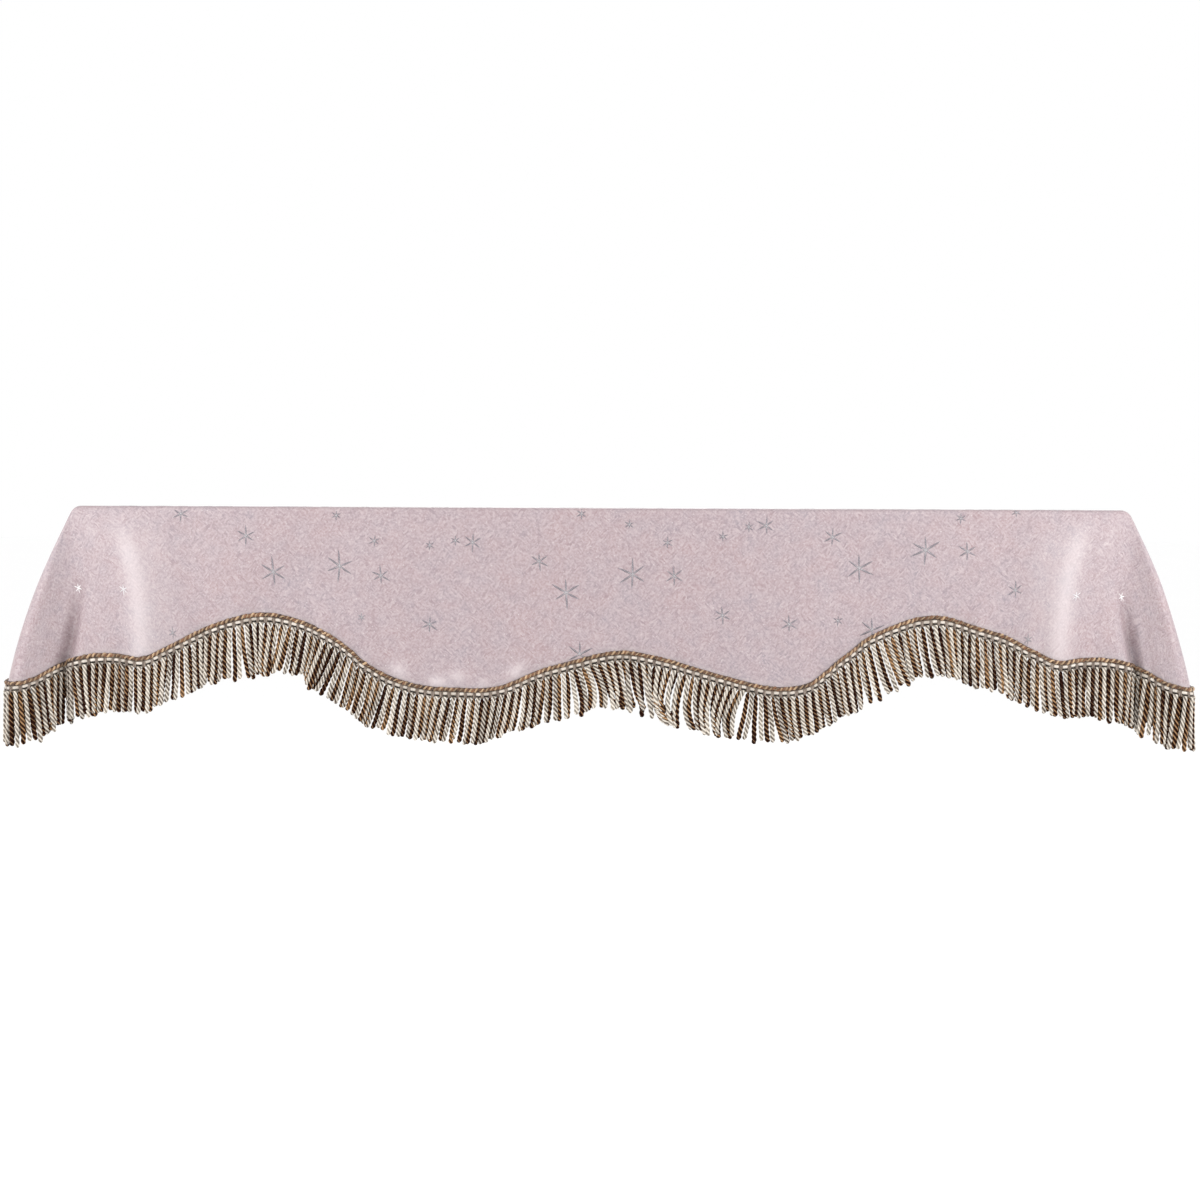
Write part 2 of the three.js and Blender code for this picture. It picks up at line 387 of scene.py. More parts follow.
def make_piece(name, points, faces, materials, numbers, vectors):
    """A smooth mesh from points in millimetres, with numbers and vectors on its points for the material."""
    mesh = bpy.data.meshes.new(name)
    mesh.from_pydata((np.asarray(points) * MM).tolist(), [], faces)
    for label, values in numbers.items():
        data = mesh.attributes.new(label, "FLOAT", "POINT").data
        data.foreach_set("value", np.asarray(values, np.float32).ravel())
    for label, values in vectors.items():
        data = mesh.attributes.new(label, "FLOAT_VECTOR", "POINT").data
        data.foreach_set("vector", (np.asarray(values) * MM).astype(np.float32).ravel())
    for material in materials:
        mesh.materials.append(material)
    mesh.shade_smooth()
    piece = bpy.data.objects.new(name, mesh)
    bpy.context.scene.collection.objects.link(piece)
    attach(piece, "root")
    return piece


def unit(vectors):
    return vectors / np.linalg.norm(vectors, axis=-1, keepdims=True)


def smooth_step(low, high, value):
    share = np.clip((value - low) / (high - low), 0, 1)
    return share * share * (3 - 2 * share)


def bell(distance, reach):
    """1 at no distance, fading smoothly to nothing at about twice the reach."""
    return np.exp(-((distance / reach) ** 2))


def tubes(paths, sideways, radius, sides, flatness=1.0):
    """Closed tubes along paths of points (tube, step, 3), with a way sideways at each step.

    The radius is one number or an array (tube, step, side). Returns points, faces, and for each point
    its place around the tube and along it, for the fibres.
    """
    count, steps = paths.shape[:2]
    ahead = unit(np.gradient(paths, axis=1))
    across = unit(sideways - np.sum(sideways * ahead, axis=-1, keepdims=True) * ahead)
    over = np.cross(ahead, across) * flatness
    radius = np.broadcast_to(radius, (count, steps, sides))
    angle = 2 * math.pi * np.arange(sides) / sides
    ring = across[:, :, None] * np.cos(angle)[:, None] + over[:, :, None] * np.sin(angle)[:, None]
    points = paths[:, :, None] + ring * radius[..., None]
    number = np.arange(count * steps * sides).reshape(count, steps, sides)
    after = np.roll(number, -1, axis=2)
    quads = np.stack([number[:, :-1], after[:, :-1], after[:, 1:], number[:, 1:]], axis=-1)
    faces = quads.reshape(-1, 4).tolist()
    faces += number[:, 0, ::-1].tolist()
    faces += number[:, -1].tolist()
    step_length = np.linalg.norm(np.diff(paths, axis=1, prepend=paths[:, :1]), axis=-1)
    fibre = np.zeros((count, steps, sides, 3))
    fibre[..., 0] = angle * np.mean(radius)
    fibre[..., 1] = np.cumsum(step_length, axis=1)[..., None]
    return points.reshape(-1, 3), faces, fibre.reshape(-1, 3)


# Materials

BAND_AT_SCALE_ONE = math.pi / 10  # metres from one band of a wave texture to the next at scale 1


def polyester_jacquard():
    """Jacquard woven from polyester: short slanted floats in patches of two directions.

    Pale pink floats lie over lilac ground threads, so the cloth looks finely mottled and in places hatched,
    with a satin gloss and small white glints that are painted highlights. The number called pale on each
    point is painted light: above 0 it paints a whiter highlight band where a fold or bump catches light,
    and below 0 it paints a darker shade. The floats are drawn at several times their real size so that they
    show.
    """
    float_length = 6.5 * MM
    float_width = 1.8 * MM
    float_turn = math.radians(48)
    highlight_cover = 0.36  # share of the face that the painted highlight covers where pale is 1
    plain_values = {"Sheen Weight": 0.1, "Sheen Roughness": 0.4, "Specular IOR Level": 0.55}
    material, tree, shader = new_material("polyester_jacquard", plain_values)
    flat = add_node(tree, "Attribute", {}, attribute_name="flat_cloth")["Vector"]
    pale = add_node(tree, "Attribute", {}, attribute_name="pale")["Fac"]
    slants = []
    for turn in (float_turn, math.pi - float_turn):
        turned = add_node(tree, "VectorRotate", {"Vector": flat, "Angle": turn}, rotation_type="Z_AXIS")
        narrowed = {0: turned["Vector"], 1: (1 / float_length, 1 / float_width, 1)}
        stretched = add_node(tree, "VectorMath", narrowed, operation="MULTIPLY")
        cells = {"Vector": stretched["Vector"], "Scale": 1.0}
        slants.append(add_node(tree, "TexVoronoi", cells, voronoi_dimensions="2D")["Color"])
    noise = {}
    for name, size, detail, roughness in (
        ("patches", 17 * MM, 1, 0.5),
        ("strokes", 12 * MM, 2, 0.5),
        ("mottle", 3.4 * MM, 3, 0.6),
        ("painted_glints", 2.6 * MM, 2, 0.5),
        ("blotches", 26 * MM, 2, 0.5),
        ("drift", 170 * MM, 2, 0.5),
    ):
        grain = {"Vector": flat, "Scale": 1 / size, "Detail": detail, "Roughness": roughness}
        noise[name] = add_node(tree, "TexNoise", grain)["Fac"]
    side = add_node(tree, "MapRange", {"Value": noise["patches"], "From Min": 0.4, "From Max": 0.6})
    floats = add_node(tree, "Mix", {"Factor": side["Result"], "A": slants[0], "B": slants[1]})
    unhatched = {
        "Value": noise["strokes"], "From Min": 0.35, "From Max": 0.65, "To Min": 0.95, "To Max": 0.45
    }
    mottled = add_node(tree, "MapRange", unhatched)["Result"]
    blend = {"Factor": mottled, "A": floats["Result"], "B": noise["mottle"]}
    thread = add_node(tree, "Mix", blend)["Result"]
    tint = add_node(tree, "Mix", {"Factor": 0.5, "A": noise["blotches"], "B": noise["drift"]})
    lilac = add_node(tree, "MapRange", {"Value": tint["Result"], "From Min": 0.36, "From Max": 0.64})
    raised = {"Value": thread, "From Min": 0.25, "From Max": 0.75}
    face = add_node(tree, "MapRange", raised, interpolation_type="SMOOTHSTEP")
    painted_glints = add_node(tree, "MapRange", {"Value": noise["painted_glints"], "From Min": 0.63, "From Max": 0.8})
    painted_highlight = add_node(tree, "Math", {0: pale, 1: highlight_cover}, operation="MULTIPLY")
    painted_shade = add_node(tree, "Math", {0: pale, 1: -1.0}, operation="MULTIPLY", use_clamp=True)
    # Layers of colour: lilac ground, pale floats, then painted glints, the painted highlight where pale is
    # above 0 and the painted shade where it is below 0
    colour = linear("#8f797c")
    for layer, cover in (
        ("#877c83", lilac["Result"]),
        ("#aa9b9d", face["Result"]),
        ("#c4bcbd", painted_glints["Result"]),
        ("#cfc6c7", painted_highlight["Value"]),
        ("#75666a", painted_shade["Value"]),
    ):
        colour = add_node(tree, "Mix", {6: colour, 7: linear(layer), "Factor": cover}, data_type="RGBA")[2]
    satin = {"Value": thread, "From Min": 0.3, "From Max": 0.8, "To Min": 0.56, "To Max": 0.42}
    gloss = add_node(tree, "MapRange", satin)["Result"]
    relief = add_node(tree, "Bump", {"Height": thread, "Strength": 0.5, "Distance": 0.5 * MM})["Normal"]
    set_inputs(tree, shader, {"Base Color": colour, "Roughness": gloss, "Normal": relief})
    return material


def jacquard_reverse():
    """The back of the same cloth: loose lilac floats with no stars, duller and a little fuzzy."""
    thread_size = 3 * MM
    plain_values = {"Sheen Weight": 0.2, "Roughness": 0.75, "Specular IOR Level": 0.25}
    material, tree, shader = new_material("jacquard_reverse", plain_values)
    flat = add_node(tree, "Attribute", {}, attribute_name="flat_cloth")["Vector"]
    threads = add_node(tree, "TexNoise", {"Vector": flat, "Scale": 1 / thread_size, "Detail": 3.0})["Fac"]
    tints = {6: linear("#958a92"), 7: linear("#aba0a4"), "Factor": threads}
    colour = add_node(tree, "Mix", tints, data_type="RGBA")[2]
    relief = add_node(tree, "Bump", {"Height": threads, "Strength": 0.5, "Distance": 0.4 * MM})["Normal"]
    set_inputs(tree, shader, {"Base Color": colour, "Normal": relief})
    return material


def metallised_thread():
    """Flat metallised film thread in the stars: grey where it lies flat, white where a fold catches light.

    The number called tone on each point is a painted highlight: how much light the film catches there.
    """
    rib_spacing = 1.8 * MM
    material, tree, shader = new_material("metallised_thread", {"Metallic": 0.4, "Roughness": 0.4})
    flat = add_node(tree, "Attribute", {}, attribute_name="flat_cloth")["Vector"]
    tone = add_node(tree, "Attribute", {}, attribute_name="tone")["Fac"]
    bands = {"Vector": flat, "Scale": BAND_AT_SCALE_ONE / rib_spacing, "Distortion": 1.0}
    ribs = add_node(tree, "TexWave", bands, bands_direction="DIAGONAL")["Fac"]
    greys = {6: linear("#757076"), 7: linear("#8f898e"), "Factor": ribs}
    dull = add_node(tree, "Mix", greys, data_type="RGBA")[2]
    # painted highlight: the film turns white where tone is high
    colour = add_node(tree, "Mix", {6: dull, 7: linear("#f2f0f0"), "Factor": tone}, data_type="RGBA")[2]
    relief = add_node(tree, "Bump", {"Height": ribs, "Strength": 0.4, "Distance": 0.2 * MM})["Normal"]
    set_inputs(tree, shader, {"Base Color": colour, "Normal": relief})
    return material


def rayon_yarn(name, deep, pale, roughness, gloss=0.45):
    """Twisted viscose rayon: fine bright fibres along the yarn, a silky gloss, darker between the fibres.

    The number called tone on each point moves the yarn between its deep and its pale colour; the ropes and
    edge cords lower it as painted shade in grooves and on turned-away sides. The fibres are drawn at
    several times their real width so that they show.
    """
    fibre_width = 0.7 * MM
    uneven_size = 5 * MM
    plain_values = {
        "Roughness": roughness,
        "Sheen Weight": gloss / 2,
        "Sheen Roughness": 0.35,
        "Specular IOR Level": gloss,
    }
    material, tree, shader = new_material(name, plain_values)
    tone = add_node(tree, "Attribute", {}, attribute_name="tone")["Fac"]
    fibre = add_node(tree, "Attribute", {}, attribute_name="fibre")["Vector"]
    place = add_node(tree, "TexCoord", {})["Object"]
    bands = {"Vector": fibre, "Scale": BAND_AT_SCALE_ONE / fibre_width, "Distortion": 2.0, "Detail": 2.0}
    lines = add_node(tree, "TexWave", bands)["Fac"]
    uneven = add_node(tree, "TexNoise", {"Vector": place, "Scale": 1 / uneven_size, "Detail": 2.0})["Fac"]
    streaks = add_node(tree, "Mix", {"Factor": 0.6, "A": lines, "B": uneven})["Result"]
    spread = add_node(tree, "MapRange", {"Value": streaks, "To Min": -0.18, "To Max": 0.18})["Result"]
    share = add_node(tree, "Math", {0: tone, 1: spread}, operation="ADD", use_clamp=True)["Value"]
    dyes = {6: linear(deep), 7: linear(pale), "Factor": share}
    colour = add_node(tree, "Mix", dyes, data_type="RGBA")[2]
    relief = add_node(tree, "Bump", {"Height": lines, "Strength": 0.35, "Distance": 0.2 * MM})["Normal"]
    set_inputs(tree, shader, {"Base Color": colour, "Normal": relief})
    return material


def studio_paper():
    """Matt white background paper: an even pale surface with no gloss."""
    tooth_size = 500 * MM
    material, tree, shader = new_material("studio_paper", {"Roughness": 0.95, "Specular IOR Level": 0.1})
    place = add_node(tree, "TexCoord", {})["Object"]
    tooth = add_node(tree, "TexNoise", {"Vector": place, "Scale": 1 / tooth_size})["Fac"]
    whites = {6: linear("#fefefe"), 7: linear("#ffffff"), "Factor": tooth}
    set_inputs(tree, shader, {"Base Color": add_node(tree, "Mix", whites, data_type="RGBA")[2]})
    return material


# The drape, worked out from guides: lines from the top's edge to the hem


def edge_guides(rows, end_y):
    """Guides of a straight edge: each has its root, hem, way out of the edge, fall and sweep."""
    return [
        (
            (across, end_y * HALF_DEPTH),
            (across, end_y * (HALF_DEPTH + forward)),
            (0, end_y),
            drop + HEADING_LAP,
            1,
        )
        for across, forward, drop in rows
    ]


def corner_guides(rows, end_x, end_y):
    """Guides of a corner's folds. end_x and end_y are -1 or 1 and say which corner it is."""
    half_arc = CORNER_ROUND * math.pi / 4
    guides = []
    for edge, inward, forward, drop, sweep in rows:
        turn = min(max(math.pi / 4 + edge / CORNER_ROUND, 0), math.pi / 2)
        past_arc = max(0, abs(edge) - half_arc)
        root_inward = CORNER_ROUND * (1 - math.cos(turn)) + (past_arc if edge > 0 else 0)
        root_behind = CORNER_ROUND * (1 - math.sin(turn)) + (past_arc if edge < 0 else 0)
        guides.append((
            (end_x * (HALF_LENGTH - root_inward), end_y * (HALF_DEPTH - root_behind)),
            (end_x * (HALF_LENGTH - inward), end_y * (HALF_DEPTH + forward)),
            (end_x * math.cos(turn), end_y * math.sin(turn)),
            drop + HEADING_LAP,
            sweep,
        ))
    return guides


left_back = corner_guides(BACK_CORNER, -1, 1)[::-1]
left_front = corner_guides(FRONT_CORNER, -1, -1)[::-1]
right_front = corner_guides(FRONT_CORNER, 1, -1)
right_back = corner_guides(BACK_CORNER, 1, 1)
rows_before_fringe = len(BACK_CORNER) - 1 - FRINGE_END
guides = (
    left_back[rows_before_fringe:]
    + left_front
    + edge_guides(FRONT_HEM, -1)
    + right_front
    + right_back
    + edge_guides(BACK_HEM, 1)
    + left_back[:rows_before_fringe]
)
first_left_front = FRINGE_END + 1
first_right_front = first_left_front + len(FRONT_CORNER) + len(FRONT_HEM)
first_right_back = first_right_front + len(FRONT_CORNER)
last_fringed = first_right_back + FRINGE_END
root, hem, way_out, fall, sweep = (np.array(column, float) for column in zip(*guides))


def hanging_points(t):
    """Points of all guides, with t from 0 at the top's edge to 1 at the cloth's lower edge."""
    spread = 1 - (1 - t ** STAND_OFF) ** sweep
    plan = root + (hem - root) * spread[:, None]
    return np.column_stack([plan, CLOTH_THICK - fall * t])


def guide_rows():
    """Rows of guide points from the middle of the top to the hem, and the share of the wall at each row."""
    level = np.full(len(guides), float(CLOTH_THICK))
    flat_edge = root - way_out * EDGE_ROLL
    roll_end = EDGE_ROLL / fall
    heading_top = 1 - HEADING_LAP / fall
    edge = hanging_points(np.zeros(len(guides)))
    rolled = hanging_points(roll_end)
    rows = []
    for inset in TOP_INSETS:
        shrink = 1 - inset / np.array([HALF_LENGTH - EDGE_ROLL, HALF_DEPTH - EDGE_ROLL])
        rows.append((np.column_stack([flat_edge * shrink, level]), 0))
    start = np.column_stack([flat_edge, level])
    for u in np.arange(ROLL_ROWS) / ROLL_ROWS:
        points = start * (1 - u) ** 2 + edge * 2 * u * (1 - u) + rolled * u ** 2
        rows.append((points, 0))
    for share in np.linspace(0, 1, WALL_ROWS):
        t = roll_end + (heading_top - roll_end) * share
        rows.append((hanging_points(t), share))
    for share in np.arange(1, LAP_ROWS + 1) / LAP_ROWS:
        t = heading_top + (1 - heading_top) * share
        rows.append((hanging_points(t), 1))
    return rows


def loop_curve(points, places):
    """A closed smooth curve (centripetal Catmull-Rom) through points, at places counted in points."""
    least_distance = 1e-4
    count = len(points)
    index = np.floor(places).astype(int)
    f = (places - index)[:, None]
    before, here, after, beyond = (points[(index + k) % count] for k in (-1, 0, 1, 2))
    first, middle, last = (
        np.sqrt(np.maximum(np.linalg.norm(b - a, axis=1), least_distance))[:, None]
        for a, b in ((before, here), (here, after), (after, beyond))
    )
    leave = middle * (
        (here - before) / first - (after - before) / (first + middle) + (after - here) / middle
    )
    arrive = middle * (
        (after - here) / middle - (beyond - here) / (middle + last) + (beyond - after) / last
    )
    square = 3 * (after - here) - 2 * leave - arrive
    cube = 2 * (here - after) + leave + arrive
    return here + leave * f + square * f ** 2 + cube * f ** 3


def column_places():
    """Places of the columns on the loop of guides, and the column that stands on each guide."""
    hem_points = hanging_points(np.ones(len(guides)))
    places = []
    guide_columns = []
    for i, point in enumerate(hem_points):
        width = np.linalg.norm(hem_points[(i + 1) % len(guides)] - point)
        corner_rows = (i - first_left_front, i - first_right_front)
        in_corner = any(0 <= row < len(FRONT_CORNER) - 1 for row in corner_rows)
        column_width = CORNER_COLUMN_WIDTH if in_corner else COLUMN_WIDTH
        count = max(LEAST_COLUMNS, round(width / column_width))
        guide_columns.append(len(places))
        places.extend(i + np.arange(count) / count)
    return np.array(places), guide_columns


def ways_out(grid):
    """Unit vectors square to the cloth, out of it, at each point of a grid (row, column, 3)."""
    along = np.roll(grid, -1, axis=1) - np.roll(grid, 1, axis=1)
    below = np.gradient(grid, axis=0)
    return unit(np.cross(below, along))


def hem_arcs(grid):
    """Distance along the cloth from the first column, at each point (row, column)."""
    step = np.linalg.norm(np.roll(grid, -1, axis=1) - grid, axis=-1)
    return np.cumsum(step, axis=1) - step


def above_heading(grid):
    """Height above the heading at each point of the wall (row, column)."""
    return (1 - wall_share[:, None]) * (-grid[-1, :, 2])


def corner_bands(grid, table):
    """The sum of the bands in a table like CORNER_CREASES at each point (row, column)."""
    arc = hem_arcs(grid)
    share = wall_share[:, None]
    total = np.zeros(arc.shape)
    last_row = len(FRONT_CORNER) - 1
    for row, upper_shift, lower_shift, size, width, start, end in table:
        shift = upper_shift + (lower_shift - upper_shift) * share ** 2
        grown = np.clip((share - start) / (end - start), 0, 1)
        left = first_left_front + last_row - row
        right = first_right_front + row
        for guide, side in ((left, 1), (right, -1)):
            middle = arc[:, guide_columns[guide]][:, None]
            total += size * grown * bell(arc - middle - side * shift, width)
    return total


def hem_bumps(grid):
    """The bumps of the front hem at each point (row, column): their height."""
    total = np.zeros(grid.shape[:2])
    for across, above, size, width in HEM_BUMPS:
        distance = np.hypot(grid[..., 0] - across, above_heading(grid) - above)
        total += size * bell(distance, width) * (grid[..., 1] < 0)
    return total


def hem_highlight(grid):
    """The painted highlight at each point (row, column) along the heading, fading within a few millimetres
    above it.
    """
    strength = 0.7
    reach = 4
    return strength * bell(above_heading(grid), reach) * (wall_share[:, None] > 0)


def edge_shade(grid):
    """The painted shade at each point (row, column): a thin darker line along the top's edge, where the
    cloth bends over it.
    """
    strength = 0.36
    reach = 3
    over_edge = np.arange(len(grid))[:, None] >= len(TOP_INSETS)
    return strength * bell(CLOTH_THICK - grid[..., 2], reach) * over_edge


def crease_heights(grid):
    """How far creases, waves and puckers lift each point of the cloth (row, column)."""
    share = wall_share[:, None]
    height = corner_bands(grid, CORNER_CREASES) + hem_bumps(grid)
    hem_arc = hem_arcs(grid)[-1]
    for number, (wavelength, lift) in enumerate(PANEL_WAVES):
        phase = 2 * math.pi * hem_arc / wavelength + WAVE_LAG * number + WAVE_LEAN * share
        height += lift * np.sin(phase) * smooth_step(*WAVE_GROWTH, share)
    fading = np.exp(-above_heading(grid) / PUCKER_REACH) * (share > 0)
    for number, (wavelength, lift) in enumerate(HEM_PUCKERS):
        phase = 2 * math.pi * hem_arc / wavelength + PUCKER_LAG * number
        height += lift * np.sin(phase) * fading
    return height


def flat_places(grid):
    """Where each point of the drape (row, column, 3) lay in the flat cloth (row, column, 2).

    Down the cloth it keeps its distance from the top's edge. Along the cloth, the straight edges keep
    their place, and each corner spreads evenly over the straight ends and the quarter round between them.
    """
    least_radius = 1e-3
    flat = grid[..., :2].copy()
    edge_row = len(TOP_INSETS) + ROLL_ROWS // 2
    down = np.linalg.norm(np.diff(grid, axis=0, prepend=grid[:1]), axis=-1)
    reach = np.cumsum(down, axis=0) - np.cumsum(down, axis=0)[edge_row]
    below = slice(edge_row, None)
    flat[below, :, 1] = np.sign(grid[below, :, 1]) * (HALF_DEPTH + reach[below])
    for start, corner_rows, end_x, end_y, from_side in (
        (first_left_front, FRONT_CORNER, -1, -1, True),
        (first_right_front, FRONT_CORNER, 1, -1, False),
        (first_right_back, BACK_CORNER, 1, 1, True),
        (first_left_front - len(BACK_CORNER), BACK_CORNER, -1, 1, False),
    ):
        first = guide_columns[start]
        last = guide_columns[start + len(corner_rows) - 1]
        columns = np.arange(first - (column_count if start < 0 else 0), last + 1)
        if from_side:
            columns = columns[::-1]
        run = grid[below][:, columns]
        arc = np.cumsum(np.linalg.norm(np.diff(run, axis=1, prepend=run[:, :1]), axis=-1), axis=1)
        near = HALF_LENGTH - abs(run[:, :1, 0])
        far = HALF_DEPTH - abs(run[:, -1:, 1])
        radius = np.maximum(reach[below][:, columns], least_radius)
        quarter = radius * math.pi / 2
        place = arc / arc[:, -1:] * (near + quarter + far)
        turn = np.clip((place - near) / radius, 0, math.pi / 2)
        inward = np.maximum(near - place, 0)
        behind = np.maximum(place - near - quarter, 0)
        flat[below, columns, 0] = end_x * (HALF_LENGTH - inward + radius * np.sin(turn))
        flat[below, columns, 1] = end_y * (HALF_DEPTH - behind + radius * np.cos(turn))
    for last_of_corner in (first_left_front - 1, first_right_back - 1):
        first = guide_columns[last_of_corner]
        last = guide_columns[last_of_corner + 1]
        share = np.linspace(0, 1, last - first + 1)
        for k in (0, 1):
            ends = flat[below, [first, last], k]
            flat[below, first:last + 1, k] = ends[:, :1] + (ends[:, 1:] - ends[:, :1]) * share
    return flat


rows = guide_rows()
places, guide_columns = column_places()
outside = np.array([loop_curve(points, places) for points, _ in rows])
wall_share = np.array([share for _, share in rows])
row_count, column_count = outside.shape[:2]
flat_cloth = flat_places(outside)
# Painted light on the outside of the cloth: highlights along the corner folds, on the hem's bumps and along
# the heading, less the painted shade of a thin line along the top's edge
highlight_sum = corner_bands(outside, HIGHLIGHT_BANDS) + BUMP_HIGHLIGHT * hem_bumps(outside) + hem_highlight(outside)
painted_light = np.clip(highlight_sum, 0, MOST_HIGHLIGHT) - edge_shade(outside)
outside += ways_out(outside) * crease_heights(outside)[..., None]
cloth_out = ways_out(outside)
heading_row = row_count - 1 - LAP_ROWS


def grid_quads(number):
    """Faces of a grid of point numbers that closes on itself, counter-clockwise from outside."""
    after = np.roll(number, -1, axis=1)
    return np.stack([number[:-1], number[1:], after[1:], after[:-1]], axis=-1).reshape(-1, 4)


def cloth_cover():
    """The draped sheet: outside, inside one thickness behind it, and the cut edge between them."""
    inside = outside - cloth_out * CLOTH_THICK
    middle = [(0, 0, CLOTH_THICK), (0, 0, 0)]
    points = np.concatenate([outside.reshape(-1, 3), inside.reshape(-1, 3), middle])
    half = row_count * column_count
    outer = np.arange(half).reshape(row_count, column_count)
    inner = outer + half
    edge = np.stack([outer[-1], inner[-1]])
    outer_faces = grid_quads(outer).tolist()
    outer_faces += [[2 * half, a, b] for a, b in zip(outer[0], np.roll(outer[0], -1))]
    outer_faces += grid_quads(edge).tolist()
    inner_faces = grid_quads(inner)[:, ::-1].tolist()
    inner_faces += [[2 * half + 1, b, a] for a, b in zip(inner[0], np.roll(inner[0], -1))]
    flat = np.zeros((len(points), 3))
    flat[:half, :2] = flat_cloth.reshape(-1, 2)
    flat[half:2 * half, :2] = flat_cloth.reshape(-1, 2)
    # the number called pale carries the painted light, highlights and shade, to the material
    pale = np.zeros(len(points))
    pale[:half] = painted_light.ravel()
    materials = [polyester_jacquard(), jacquard_reverse()]
    piece = make_piece(
        "jacquard_cover", points, outer_faces + inner_faces, materials,
        numbers={"pale": pale}, vectors={"flat_cloth": flat},
    )
    material_index = np.zeros(len(piece.data.polygons), np.int32)
    material_index[len(outer_faces):] = 1
    piece.data.polygons.foreach_set("material_index", material_index)
    return piece


cover = cloth_cover()
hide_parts("cover_cloth")


# The woven stars


def cloth_finders():
    """Two functions: one finds the draped point and the way out for a point of the flat cloth, and the
    other finds the point of the flat cloth that shows at a place seen from the front.
    """
    draped = [Vector(p) for p in outside.reshape(-1, 3)] + [Vector((0, 0, CLOTH_THICK))]
    flat = [Vector((u, v, 0)) for u, v in flat_cloth.reshape(-1, 2)] + [Vector((0, 0, 0))]
    number = np.arange(len(draped) - 1).reshape(row_count, column_count)
    quads = grid_quads(number)
    triangles = np.concatenate([quads[:, (0, 1, 2)], quads[:, (0, 2, 3)]]).tolist()
    triangles += [[len(draped) - 1, a, b] for a, b in zip(number[0], np.roll(number[0], -1))]
    flat_tree = BVHTree.FromPolygons(flat, triangles)
    draped_tree = BVHTree.FromPolygons(draped, triangles)

    def find_draped(u, v):
        place, _, index, distance = flat_tree.find_nearest(Vector((u, v, 0)))
        corners = triangles[index]
        a, b, c = (draped[k] for k in corners)
        point = barycentric_transform(place, *(flat[k] for k in corners), a, b, c)
        return point, (b - a).cross(c - a).normalized(), distance

    def find_flat(across, drop):
        in_front = Vector((across, -2 * TOP_DEPTH, -drop))
        place, _, index, _ = draped_tree.ray_cast(in_front, Vector((0, 1, 0)))
        corners = triangles[index]
        return barycentric_transform(place, *(draped[k] for k in corners), *(flat[k] for k in corners))

    return find_draped, find_flat


def woven_stars():
    """Six-rayed stars of metallised thread. Each ray is a slim float that stands a little over the cloth.

    A ray's greatest half width is the narrowest one and a share of the ray's length. The other sizes
    are heights over the cloth and random spreads, with turns in radians.
    """
    rays = 6
    narrowest_half = 0.65
    half_for_length = 0.035
    crown = 0.35
    crown_loss = 0.6  # share of the crown that is lost at the tip
    rim = 0.05
    sunk = -0.15
    star_turn = 0.07
    ray_turn = 0.12
    ray_shares = (0.95, 1.25)
    off_cloth = 0.01  # a place that is further than this from the cloth is off it
    uneven = random.Random(5)
    find_draped, find_flat = cloth_finders()
    points = []
    faces = []
    in_flat = []
    tones = []

    def lay(u, v, lift, tone):
        point, out, _ = find_draped(u, v)
        points.append(tuple(point + out * lift))
        in_flat.append((u, v, 0))
        tones.append(tone)
        return len(points) - 1

    def ray(u, v, angle, length, tone):
        ahead = (math.cos(angle), math.sin(angle))
        greatest_half = narrowest_half + half_for_length * length
        sections = []
        for s, width, dip in RAY_SECTIONS:
            half = greatest_half * width
            shown = max(tone, dip)
            x = u + ahead[0] * length * s
            y = v + ahead[1] * length * s
            left = lay(x - ahead[1] * half, y + ahead[0] * half, rim, shown)
            ridge = lay(x, y, crown * (1 - crown_loss * s), shown)
            right = lay(x + ahead[1] * half, y - ahead[0] * half, rim, shown)
            under = lay(x, y, sunk, shown)
            sections.append((left, ridge, right, under))
        for a, b in zip(sections, sections[1:]):
            for k in range(4):
                faces.append([a[k], b[k], b[(k + 1) % 4], a[(k + 1) % 4]][::-1])
        faces.append(list(sections[0]))
        faces.append(list(sections[-1])[::-1])

    def on_cloth(u, v):
        return find_draped(u, v)[2] < off_cloth

    def star(u, v, length, tone):
        turn = math.pi / 2 + uneven.uniform(-star_turn, star_turn)
        for k in range(rays):
            angle = turn + k * 2 * math.pi / rays + uneven.uniform(-ray_turn, ray_turn)
            ray_length = length * uneven.uniform(*ray_shares)
            tip = (u + math.cos(angle) * ray_length, v + math.sin(angle) * ray_length)
            if on_cloth(u, v) and on_cloth(*tip):
                ray(u, v, angle, ray_length, tone)

    reach_x = int(np.abs(flat_cloth[..., 0]).max() / REPEAT_WIDTH) + 2
    reach_y = int(np.abs(flat_cloth[..., 1]).max() / REPEAT_HEIGHT) + 2
    for i in range(-reach_x, reach_x):
        slope = PULLED_SLOPE if i == PULLED_REPEAT else 0
        lower = PULLED_DROP if i == PULLED_REPEAT else 0
        for j in range(-reach_y, reach_y):
            for across, up, length in STAR_REPEAT:
                u = REPEAT_ORIGIN[0] + i * REPEAT_WIDTH + across
                v = REPEAT_ORIGIN[1] + j * REPEAT_HEIGHT + (i % 2) * REPEAT_STEP - lower
                v += up + slope * across
                if v > -HALF_DEPTH or FRONT_REPEAT[0] < u < FRONT_REPEAT[1]:
                    star(u, v, length, 0)
    for across, drop, length, tone in STRAY_STARS:
        place = find_flat(across, drop)
        star(place.x, place.y, length, tone)
    return make_piece(
        "woven_stars", points, faces, [metallised_thread()],
        numbers={"tone": tones}, vectors={"flat_cloth": in_flat},
    )


stars = woven_stars()


# The heading of the fringe

